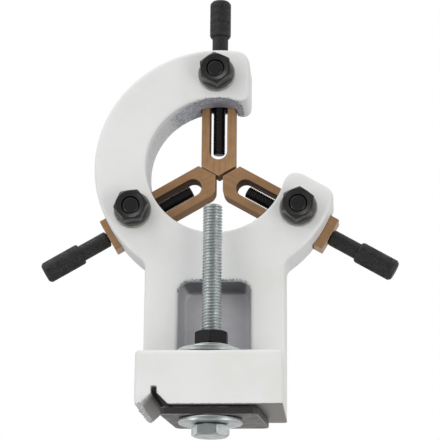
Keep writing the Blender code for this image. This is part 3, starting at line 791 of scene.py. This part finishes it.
def make_casting():
    """The casting's skin, with each point's depth (mm) inside its pocket, its bared bore, its machined
    faces and the places painted nearly black as shade: the pocket's roof and the vee's flanks. Paint
    reaches further into the bore at the left and right, where sprayed nears 1, and torn says how ragged
    its edge is. Overspray covers the vee near the ledge's front, apart from the slit in its roof, and
    thins out with the depth in fade."""
    low = (-RING_R, -LEDGE_OUT, 0.0)
    high = (RING_R, RING_T, CENTRE_HEIGHT + RING_R)
    points, faces = skin(casting_field, low, high, CASTING_STEP)
    x, y, z = points.T
    in_pocket = pocket_space(x, y, z)
    from_vee = np.abs(vee_space(x, z))
    behind_front = y + LEDGE_OUT
    upper_half = z > CENTRE_HEIGHT

    clean = grown(-x, *SPRAY_LEFT)
    sprayed = np.maximum(clean, grown(x, *SPRAY_RIGHT))
    bore = (y - SPRAY_EDGE - SPRAY_DEEPER * sprayed) / (1 + SPRAY_SOFTER * sprayed)
    bore = np.minimum(bore, SPRAY_CLOSES * (1 - sprayed) ** 2 - SPRAY_OVERLAP)
    bore = bore - np.where(upper_half, ARM_COAT * grown(x, *ARM_COATED), 0)
    off_bore = np.abs(np.hypot(x, z - CENTRE_HEIGHT) - BORE_R)
    bore = np.minimum(BORE_STEEP * (BORE_NEAR - off_bore), bore)
    bore = np.maximum(bore, np.where((x < LAND_X) & (z < LAND_H), LAND_BARE, BORE_LEAST))
    lip = (np.abs(in_pocket) < LIP_NEAR) & (z > POCKET_TOP - POCKET_CORNER_R)
    bore = np.where(lip & (y > LIP_FRONT) & (y < LIP_BACK), LIP_BARE, bore)
    torn = np.where(z > TORN_FROM, TORN_LOW * (1 - clean), 1.0)
    torn = np.where(upper_half, 1 - clean, torn)

    # the pocket's grey: partly a thinner coat, partly painted shade of the recess
    pocket = np.minimum(POCKET_NEAR - in_pocket, y - POCKET_FROM)
    grooves = np.max([GROOVE_NEAR - groove_space(side, x, y, z) for side in SIDES], axis=0)
    bed = np.minimum(BED_NEAR - z, x - LAND_X)
    fade = np.where(z > VEE_HALF - SLIT_DROP, SLIT_DEPTH, behind_front)
    vee = np.minimum(VEE_NEAR - from_vee, x - LAND_X + VEE_LEAN * z)
    vee = np.minimum(vee, VEE_FADE * fade - VEE_COAT)
    machined = np.max([bed, vee, grooves], axis=0)

    # painted shade where the pocket's roof faces down and along the vee's right flank and slit, drawn
    # nearly black
    under_roof = z - POCKET_TOP + POCKET_DRAFT / 2 * y + ROOF_NEAR
    roof = np.min([POCKET_NEAR - in_pocket, y - ROOF_FROM, under_roof], axis=0)
    roof = np.minimum(roof / 2, ROOF_MOST)
    near_vee = np.minimum(SHADE_NEAR - from_vee, behind_front - SHADE_FROM)
    inner_flank = np.minimum(near_vee, x - VEE_X)
    outer_flank = np.minimum(near_vee, FLANK_SHADE - FLANK_THINNER * np.abs(x - VEE_X))
    outer_flank = np.minimum(outer_flank, FLANK_FADE * fade - FLANK_COAT)
    painted_shade = np.max([roof, inner_flank, outer_flank], axis=0)
    values = {"bore": bore, "torn": torn, "pocket": pocket, "machined": machined, "painted_shade": painted_shade}
    make_piece("casting", (points, faces), CAST, "frame", "frame_casting", sharp=CAST_SHARP, weld=False,
               values=values)


# fingers and adjusting screws

def slot_space(x, z):
    """A finger's slot: a strip with a round inner end and a square outer end."""
    nose = SLOT_START + SLOT_HALF
    return np.maximum(np.hypot(x, np.minimum(z - nose, 0)) - SLOT_HALF, z - SLOT_END)


def finger_outline(side, x, z):
    """Distance to a finger's front view, tip at zero: a bar with a 120 degree point, one lower
    shoulder worn round, less the slot."""
    flank_a = -z * math.cos(POINT_LEAN) + x * math.sin(POINT_LEAN)
    flank_b = -z * math.cos(POINT_LEAN) - x * math.sin(POINT_LEAN)
    worn_a = LOWER_CORNER_R if LOWER_SIDE[side] > 0 else SHARP_SHOULDER_R
    worn_b = LOWER_CORNER_R if LOWER_SIDE[side] < 0 else SHARP_SHOULDER_R
    bar = np.maximum(both(flank_a, x - FINGER_HALF, worn_a), both(flank_b, -x - FINGER_HALF, worn_b))
    return np.maximum(both(bar, z - FINGER_L, FINGER_EDGE_R), -slot_space(x, z))


def finger_bar(side):
    """A finger's skin, and at each point its place in the finger, its depth (mm) inside the strips
    along an edge, on the slot's walls, on any side and on the end block's sides, which the finish
    paints as shade or highlight, and how far it lies on the point and how much painted shade the
    lower finger takes all over."""
    def field(x, y, z):
        solid = both(finger_outline(side, x, z), np.abs(y) - FINGER_HALF_T, FINGER_EDGE_R)
        neck = np.maximum(np.hypot(x, y) - SCREW_R - GAP, SLOT_END - START_INSIDE - z)
        return less(solid, neck, NECK_EDGE_R)

    low = (-FINGER_HALF, -FINGER_HALF_T, 0)
    high = (FINGER_HALF, FINGER_HALF_T, FINGER_L)
    points, faces = skin(field, low, high, FINE_STEP)
    x, y, z = points.T
    outline = finger_outline(side, x, z)
    # painted shade and highlight: edges dark along the bar, pale round the point
    edge = EDGE_NEAR + np.minimum(outline, np.abs(y) - FINGER_HALF_T)
    # painted shade: the slot's walls are drawn near black
    slot_wall_shade = np.minimum(WALL_NEAR - slot_space(x, z), 2 * (FINGER_HALF_T - np.abs(y)))
    # painted shade: the finger's outer sides, undersides too, are drawn darker
    flank = np.minimum(outline + FLANK_NEAR, FINGER_HALF_T - FLANK_INSET - np.abs(y))
    # painted highlight: the end block's outer sides are drawn pale
    block_side_highlight = np.minimum(flank, z - SLOT_END - BLOCK_INSET)
    tip = np.clip((FINGER_HALF * math.tan(POINT_LEAN) + TIP_PAST - z) / TIP_FADE, 0, 1)
    # painted shade: the lower fingers are drawn a little darker all over
    oiled = np.full(len(points), LOWER_SHADE if LOWER_SIDE[side] else 0.0)
    values = {"grain": points, "edge": edge, "tip": tip, "slot": slot_wall_shade, "flank": flank, "block_side_highlight": block_side_highlight,
              "oiled": oiled}
    return (points, faces), values


def handle(low, shank, knob):
    """Shank and knob in one turned profile with broken edges. The knob's knurl is two crossed sets
    of shallow grooves, sines of the angle plus or minus the height, that fade out at its ends."""
    knob_low = low + shank
    knob_top = knob_low + knob
    foot = ((0.0, low), (SHANK_R - SHANK_CHAMFER, low), (SHANK_R, low + SHANK_CHAMFER), (SHANK_R, knob_low),
            (KNOB_R - KNOB_FOOT_IN, knob_low), (KNOB_R, knob_low + KNOB_FOOT_UP))
    crown = [(KNOB_R - inward, knob_top - down) for inward, down in KNOB_CROWN]
    steps = 4
    outline = rounded((*foot, *crown, (0.0, knob_top)), HANDLE_EDGES, steps)
    before = len(foot) * (steps + 1)
    first = knob_low + KNURL_LOW - KNURL_MARGIN
    last = knob_top - KNURL_HIGH + KNURL_MARGIN
    straight = np.stack((np.full(KNURL_ROWS, KNOB_R), np.linspace(first, last, KNURL_ROWS)), axis=1)
    profile = np.concatenate((outline[:before], straight, outline[before:]))
    radius, height = profile[:, :1], profile[:, 1:]
    columns = 4 * KNURL_LINES
    angle = around(columns) * KNURL_LINES
    climb = (height - knob_low) * KNURL_LINES / KNOB_R
    ridge = np.minimum(np.abs(np.sin((angle + climb) / 2)), np.abs(np.sin((angle - climb) / 2)))
    fade = grown(height - knob_low, KNURL_LOW, KNURL_FADE)
    fade = fade * grown(knob_top - height, KNURL_HIGH, KNURL_FADE)
    cut = KNURL_DEPTH * fade * (1 - np.minimum(1, KNURL_STEEP * ridge))
    return revolve(radius - cut, height, columns), quads(len(profile), columns)


def open_clip():
    """Retaining clip: a rounded rectangle carried round an arc that leaves a gap, closed at its
    two ends by drawing the section in to a point."""
    inner = CLIP_SEAT_R + GAP
    section = rounded(((inner, 0), (CLIP_R, 0), (CLIP_R, CLIP_T), (inner, CLIP_T)), CLIP_EDGE_R, 3)
    arc = np.linspace(CLIP_OPEN, 360.0 - CLIP_OPEN, CLIP_STOPS - 2)
    arc = np.radians(np.concatenate((arc[:1], arc, arc[-1:])))[:, None]
    shrink = np.ones((CLIP_STOPS, 1))
    shrink[[0, -1]] = 0
    middle = section.mean(axis=0)
    radius = middle[0] + (section[:, 0] - middle[0]) * shrink
    height = middle[1] + (section[:, 1] - middle[1]) * shrink
    points = np.stack((radius * np.cos(arc), radius * np.sin(arc), height), axis=-1)
    return points, quads(CLIP_STOPS, len(section))


def make_finger(side):
    """A finger with its adjusting screw (thread and handle) and the screw's clip."""
    place = radial(side, FINGER_START[side], FINGER_MID)
    finger, screw = "finger_" + side, "screw_" + side
    shape, values = finger_bar(side)
    make_piece("finger_bar_" + side, shape, BRONZE, finger, finger, place, weld=False, values=values)
    shoulder = FINGER_L + GAP
    rod = threaded_rod(THREAD_R, SCREW_PITCH, SCREW_THREAD, SCREW_END[side], shoulder + OVERLAP,
                       columns=40, rows_per_pitch=8, nose=SCREW_NOSE)
    make_piece("screw_thread_" + side, rod, BLACK, screw, screw, place, THREAD_SHARP)
    shape = handle(shoulder, SHANK_L[side], KNOB_L[side])
    make_piece("screw_handle_" + side, shape, PHOSPHATED, screw, screw, place, HANDLE_SHARP)
    clip_place = place @ moved(0, 0, SLOT_END - GAP - CLIP_T)
    make_piece("screw_keeper_" + side, open_clip(), OILED, screw, "screw_clip_" + side, clip_place)


# lock bolts

def lock_bolt(seat, end):
    """A bolt along local Z: chamfered hexagon head below the seat, round shank up to the end, and a
    cross hole for the adjusting screw."""
    def field(x, y, z):
        turns = np.arange(3) * math.pi / 3
        sides = [np.abs(x * math.cos(a) + y * math.sin(a)) - NUT_ACROSS / 2 for a in turns]
        reach = np.hypot(x, y)
        under = seat - HEAD_H - z
        flat = CHAMFER_SHARE * NUT_ACROSS
        cone = (reach - flat) * math.sin(POINT_LEAN) + under * math.cos(POINT_LEAN)
        head = np.maximum(np.maximum(sides[0], sides[1]), np.maximum(sides[2], cone))
        head = np.maximum(both(head, under, BOLT_EDGE_R), z - seat)
        nose = (reach - BOLT_R + BOLT_CHAMFER + (z - end)) / math.sqrt(2)
        ends = both(z - end, seat - START_INSIDE - z, BOLT_END_R)
        shank = both(both(reach - BOLT_R, nose, BOLT_EDGE_R), ends, BOLT_EDGE_R)
        cross = np.hypot(x, z + FINGER_MID) - SCREW_R - GAP
        return less(joined(head, shank, HEAD_FILLET_R), cross, CROSS_EDGE_R)

    corner = NUT_ACROSS / math.sqrt(3)
    return skin(field, (-corner, -corner, seat - HEAD_H), (corner, corner, end), FINE_STEP)


def make_lock(side):
    """A lock bolt through the ring and the finger's slot, with its nut and two washers."""
    place = lock_place(side)
    name = "lock_washer_" + side
    washer = ring(HOLE_R, WASHER_R, GAP, GAP + WASHER_T, WASHER_EDGE_R)
    make_piece("front_" + name, washer, OILED, name, name, place)
    nut_low = WASHER_T + 2 * GAP
    name = "lock_nut_" + side
    shape = nut(NUT_ACROSS, nut_low, NUT_H, NUT_TURN[side], HOLE_R)
    make_piece("hex_" + name, shape, BLACK, name, name, place, HEX_SHARP)
    back = -FINGER_BACK - GAP
    washer = ring(HOLE_R, BACK_WASHER_R, back - WASHER_T, back, WASHER_EDGE_R)
    make_piece("rear_washer_" + side, washer, OILED, "frame", "back_washer_" + side, place)
    shape = lock_bolt(back - WASHER_T - GAP, nut_low + NUT_H - BOLT_SUNK)
    make_piece("through_bolt_" + side, shape, BLACK, "frame", "lock_bolt_" + side, place, BOLT_SHARP,
               weld=False)


# clamp

def plate_outline(x, y):
    """Distance to the plate's four straight sides, with rounded corners."""
    corners = np.array(PLATE_CORNERS)
    along = np.roll(corners, -1, axis=0) - corners
    along = along / np.linalg.norm(along, axis=1, keepdims=True)
    sides = [(x - c[0]) * a[1] - (y - c[1]) * a[0] for c, a in zip(corners, along)]
    return both(np.maximum(sides[0], sides[2]), np.maximum(sides[1], sides[3]), PLATE_CORNER_R)


def plate_field(x, y, z):
    """A rolled plate: its outline made thick, with a round hole for the bolt."""
    flat = both(plate_outline(x, y), np.abs(z - PLATE_TOP + PLATE_T / 2) - PLATE_T / 2, PLATE_EDGE_R)
    return less(flat, np.hypot(x, y - CLAMP_Y) - CLAMP_HOLE_R, DRILLED_EDGE_R)


def bed_plate():
    """The plate's skin, and at each point its depth (mm) inside the sawn sides and inside the strips
    along their edges, which are worn."""
    corners = np.array(PLATE_CORNERS)
    low = (*corners.min(axis=0), PLATE_TOP - PLATE_T)
    high = (*corners.max(axis=0), PLATE_TOP)
    points, faces = skin(plate_field, low, high, PLATE_STEP)
    x, y, z = points.T
    outline = plate_outline(x, y)
    worn = np.minimum(outline, np.abs(z - PLATE_TOP + PLATE_T / 2) - PLATE_T / 2) + WORN_NEAR
    return (points, faces), {"rim": outline + RIM_NEAR, "worn": worn}


def bolt_head(across, seat, height, turn, neck):
    """A bolt's head from the middle of its lower face, up its chamfered side, to the neck."""
    low = seat - height
    side, rows = chamfered_side(across, low, seat, turn)
    blank = 0 * side[:1]
    face = np.array([(share * across, low) for share in HEAD_FACE])
    top = np.array(((neck, seat), (neck, seat + NECK_H), (0.0, seat + NECK_H)))
    radius = np.concatenate((face[:, :1] + blank, side, top[:, :1] + blank))
    rows = np.concatenate((face[:, 1:], rows, top[:, 1:]))
    return revolve(radius, rows, HEX_COLUMNS), quads(len(rows), HEX_COLUMNS)


def make_clamp():
    """The long bolt with its nut and washers on the ledge, and the plate and washer over its head."""
    big_low = LEDGE_H + GAP
    big_top = big_low + BIG_WASHER_T
    washer = ring(CLAMP_HOLE_R - BIG_WASHER_SHIFT, BIG_WASHER_R, big_low, big_top, BIG_WASHER_EDGE_R)
    shifted = CLAMP_PLACE @ moved(BIG_WASHER_SHIFT, 0, 0)
    make_piece("ledge_washer", washer, ZINC, "frame", "clamp_washer_large", shifted)
    small_top = big_top + GAP + SMALL_WASHER_T
    washer = ring(CLAMP_HOLE_R, SMALL_WASHER_R, big_top + GAP, small_top, WASHER_EDGE_R)
    make_piece("nut_washer", washer, ZINC, "frame", "clamp_washer_small", CLAMP_PLACE)
    shape = nut(CLAMP_NUT_ACROSS, small_top + GAP, CLAMP_NUT_H, 0.0, CLAMP_HOLE_R)
    make_piece("hex_clamp_nut", shape, OIL_BLACK, "clamp_nut", "clamp_nut", CLAMP_PLACE, HEX_SHARP)
    shape, values = bed_plate()
    make_piece("bed_plate", shape, ROLLED, "clamp_plate", "clamp_plate", weld=False, values=values)
    washer_top = PLATE_TOP - PLATE_T - GAP
    washer_low = washer_top - BIG_WASHER_T
    washer = ring(CLAMP_HOLE_R, BIG_WASHER_R, washer_low, washer_top, BIG_WASHER_EDGE_R)
    make_piece("head_washer", washer, ZINC, "clamp_bolt", "clamp_plate_washer", CLAMP_PLACE)
    seat = washer_low - GAP
    shape = bolt_head(CLAMP_HEAD_ACROSS, seat, CLAMP_HEAD_H, CLAMP_HEAD_TURN, CLAMP_R)
    make_piece("clamp_bolt_head", shape, ZINC, "clamp_bolt", "clamp_bolt", CLAMP_PLACE, HEX_SHARP)
    rod = threaded_rod(CLAMP_R, CLAMP_PITCH, CLAMP_THREAD, seat + OVERLAP, CLAMP_TOP,
                       columns=72, rows_per_pitch=10, nose=CLAMP_NOSE)
    make_piece("clamp_bolt_thread", rod, ZINC, "clamp_bolt", "clamp_bolt", CLAMP_PLACE, THREAD_SHARP)


make_casting()
for where in SIDES:
    make_finger(where)
    make_lock(where)
make_clamp()

# light, floor and camera, in metres apart from the floor
MIDDLE = Vector((0.0, 0.0, 0.1))
DARK_FRONT = (0.05, -0.97, 0.22)
FLOOR_R = 1000.0
FLOOR_Z = -420.0
FLOOR_RINGS = 24
FLOOR_COLUMNS = 72


def lamp(name, place, size, watts, lights=True, mirrored=True):
    """A round soft lamp aimed at the steady's middle, for the light on it, for reflections or both."""
    data = bpy.data.lights.new(name, 'AREA')
    data.shape = 'DISK'
    data.size = size
    data.energy = watts
    made = bpy.data.objects.new(name, data)
    bpy.context.scene.collection.objects.link(made)
    away = Vector(place) - MIDDLE
    made.matrix_world = Matrix.Translation(place) @ away.to_track_quat('Z', 'Y').to_matrix().to_4x4()
    made.visible_diffuse = lights
    made.visible_glossy = mirrored


lamp("key", (-0.34, -0.40, 0.16), size=0.40, watts=0.74, mirrored=False)
lamp("fill", (0.43, -0.47, -0.07), size=0.40, watts=1.35, mirrored=False)
lamp("overhead", (-0.35, -0.25, 0.85), size=0.55, watts=1.75)
# two low cards that show only in reflections, as pale strips on the round metal
lamp("left_card", (-0.60, -0.35, -0.18), size=0.30, watts=1.1, lights=False)
lamp("right_card", (0.60, -0.35, -0.18), size=0.30, watts=1.1, lights=False)


def studio_world():
    """White to the camera. Reflections see the same white, fading to dark in front, as in a room
    behind a camera, and dimmer below; the light on the object is weaker from below than above."""
    world = bpy.data.worlds.new("studio")
    bpy.context.scene.world = world
    world.use_nodes = True
    tree = world.node_tree
    tree.nodes.clear()
    camera, glossy, through = (
        add(tree, "ShaderNodeLightPath", out=ray)
        for ray in ("Is Camera Ray", "Is Glossy Ray", "Is Transmission Ray"))
    way = add(tree, "ShaderNodeTexCoord", out="Generated")
    upward = add(tree, "ShaderNodeSeparateXYZ", {0: way}, "Z")
    front = add(tree, "ShaderNodeVectorMath", {0: way, 1: DARK_FRONT}, "Value", operation='DOT_PRODUCT')
    spans = ((front, 0.35, 0.92, 1.0, 0.24), (upward, -0.6, 0.1, 0.6, 1.0), (upward, -0.5, 0.2, 0.15, 0.72))
    front, below, soft = (
        add(tree, RANGE, {"Value": value, "From Min": start, "From Max": end,
                          "To Min": low, "To Max": high})
        for value, start, end, low, high in spans)
    mirrored = add(tree, MATH, {0: front, 1: below}, operation='MULTIPLY')
    mirrored = add(tree, "ShaderNodeBackground", {"Color": (1, 1, 1, 1), "Strength": mirrored})
    soft = add(tree, "ShaderNodeBackground", {"Color": linear("#fdfdff"), "Strength": soft})
    white = add(tree, "ShaderNodeBackground", {"Color": (1, 1, 1, 1), "Strength": 1.0})
    seen = add(tree, MATH, {0: camera, 1: through}, operation='MAXIMUM')
    lit = add(tree, "ShaderNodeMixShader", {0: glossy, 1: soft, 2: mirrored})
    lit = add(tree, "ShaderNodeMixShader", {0: seen, 1: lit, 2: white})
    add(tree, "ShaderNodeOutputWorld", {"Surface": lit})


def studio_floor():
    """A wide pale disc well under the steady: rings of growing radius at one height."""
    share = np.linspace(0, 1, FLOOR_RINGS)[:, None]
    points = revolve(FLOOR_R * share, FLOOR_Z + 0 * share, FLOOR_COLUMNS).reshape(-1, 3) * MM
    mesh = bpy.data.meshes.new("studio_floor")
    mesh.from_pydata(points.tolist(), [], quads(FLOOR_RINGS, FLOOR_COLUMNS).tolist())
    floor = bpy.data.objects.new("studio_floor", mesh)
    bpy.context.scene.collection.objects.link(floor)
    made, tree, spot = new_material("matt_white_card")
    mottle = add(tree, NOISE, {"Vector": spot, "Scale": 1 / (40 * MM)})
    colour = add(tree, MIX, {0: mottle, 6: linear("#d6d6d6"), 7: linear("#d2d2d2")}, 2, data_type='RGBA')
    shader = add(tree, SHADER, {"Base Color": colour, "Roughness": 0.9})
    add(tree, OUTPUT, {"Surface": shader})
    mesh.materials.append(made)


studio_world()
studio_floor()

# camera: below and right of the bore axis, looking up
EYE = (0.06370, -0.78430, -0.12867)
YAW, PITCH, ROLL = -0.078, 0.28, 0.01
FOCAL_PIXELS = 1644.656
FRAME_PIXELS = 440


def make_camera():
    """A camera at EYE, turned by yaw and pitch and rolled about its view."""
    ahead = np.array((math.sin(YAW) * math.cos(PITCH), math.cos(YAW) * math.cos(PITCH), math.sin(PITCH)))
    level = np.array((math.cos(YAW), -math.sin(YAW), 0.0))
    above = np.cross(level, ahead)
    right = level * math.cos(ROLL) + above * math.sin(ROLL)
    up = above * math.cos(ROLL) - level * math.sin(ROLL)
    place = np.eye(4)
    place[:3, 0], place[:3, 1], place[:3, 2], place[:3, 3] = right, up, -ahead, EYE
    data = bpy.data.cameras.new("camera")
    data.sensor_width = 36.0
    data.lens = FOCAL_PIXELS / FRAME_PIXELS * data.sensor_width
    data.clip_start = 0.01
    made = bpy.data.objects.new("camera", data)
    bpy.context.scene.collection.objects.link(made)
    made.matrix_world = Matrix(place.tolist())
    bpy.context.scene.camera = made


make_camera()
bpy.context.scene.view_settings.view_transform = 'Standard'
